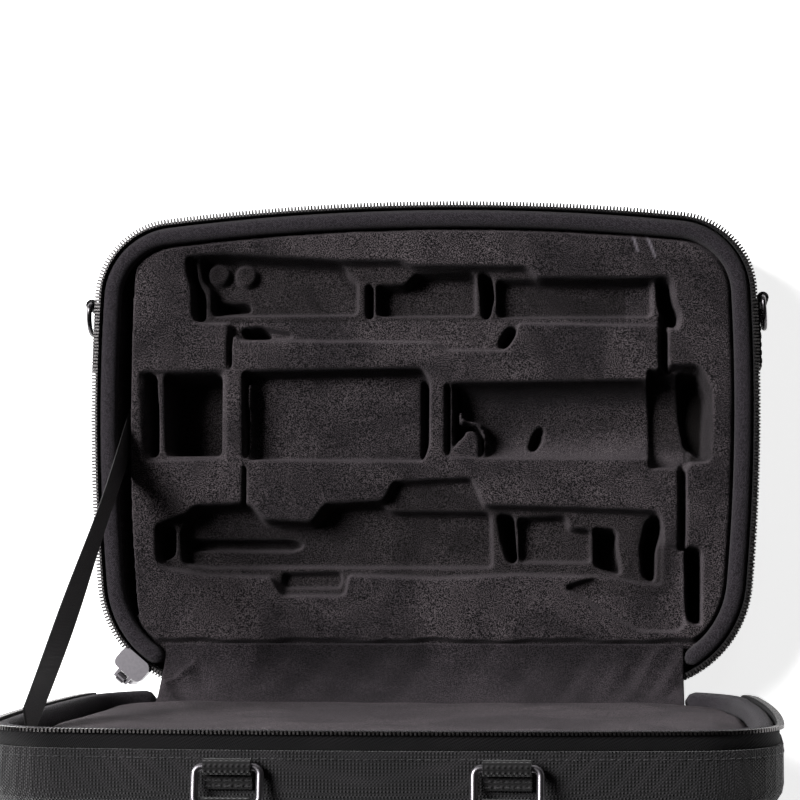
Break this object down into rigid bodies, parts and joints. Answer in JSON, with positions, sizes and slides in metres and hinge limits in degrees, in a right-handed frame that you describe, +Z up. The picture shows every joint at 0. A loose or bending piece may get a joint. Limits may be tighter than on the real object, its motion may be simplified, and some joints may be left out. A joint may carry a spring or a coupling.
{
  "type": "zipped instrument case",
  "caption": "Soft-sided oboe case, unzipped and open, with a moulded plush insert, a padded lid held by a ribbon, strap rings, a zip slider and a carrying handle.",
  "frame": {"origin": "centre of the base's flat underside", "axes": "+X along the case's long side, +Y from the hinge towards the front, +Z up with the base lying flat"},
  "size_m": [0.3404, 0.3163, 0.3034],
  "materials": {
    "shell": "black woven cloth over a moulded shell",
    "board": "grey-brown stiffening board",
    "plush": "very dark warm grey moulded plush",
    "knit": "dark knit over a foam roll",
    "tape": "black woven zip tape",
    "nickel": "light nickel plate",
    "ribbon": "dark woven ribbon with a slight sheen",
    "webbing": "black webbing"
  },
  "bodies": {
    "base": {"base_shell": "shell", "base_board": "board", "base_insert": "plush", "base_rim_roll": "knit", "base_zip_tape": "tape", "base_zip_chain": "nickel", "tab_left": "webbing", "tab_right": "webbing", "spine_panel": "shell", "hinge_lining": "plush", "stay_ribbon": "ribbon", "zip_stop_left": "nickel", "zip_stop_right": "nickel"},
    "lid": {"lid_shell": "shell", "lid_board": "board", "lid_pad": "plush", "lid_rim_roll": "knit", "lid_zip_tape": "tape", "lid_zip_chain": "nickel", "handle_tab_left": "webbing", "handle_tab_right": "webbing"},
    "slider": {"zip_slider": "nickel"},
    "pull": {"zip_pull": "nickel"},
    "left_ring": {"d_ring_left": "nickel"},
    "right_ring": {"d_ring_right": "nickel"},
    "handle": {"handle_grip": "webbing", "handle_ring_left": "nickel", "handle_ring_right": "nickel"}
  },
  "joints": [
    {"name": "lid_hinge", "type": "hinge", "parent": "base", "child": "lid", "pos_m": [0, -0.12, 0.052], "axis": [1, 0, 0], "range_deg": [-94, 0], "deforming": ["spine_panel", "hinge_lining", "stay_ribbon"]},
    {"name": "slider_travel", "type": "hinge", "parent": "base", "child": "slider", "pos_m": [-0.10541, -0.065, 0.052], "axis": [0, 0, -1], "range_deg": [0, 12]},
    {"name": "pull_swing", "type": "hinge", "parent": "slider", "child": "pull", "pos_m": [-0.14758, -0.11525, 0.0531], "axis": [-0.766, 0.6428, 0], "range_deg": [0, 100]},
    {"name": "left_ring_swing", "type": "hinge", "parent": "base", "child": "left_ring", "pos_m": [-0.16733, 0.07113, 0.037], "axis": [0, 0, -1], "range_deg": [0, 170]},
    {"name": "right_ring_swing", "type": "hinge", "parent": "base", "child": "right_ring", "pos_m": [0.16733, 0.07113, 0.037], "axis": [0, 0, 1], "range_deg": [0, 170]},
    {"name": "handle_swing", "type": "hinge", "parent": "lid", "child": "handle", "pos_m": [0, -0.1509, 0.29322], "axis": [-1, 0, 0], "range_deg": [0, 160]}
  ]
}
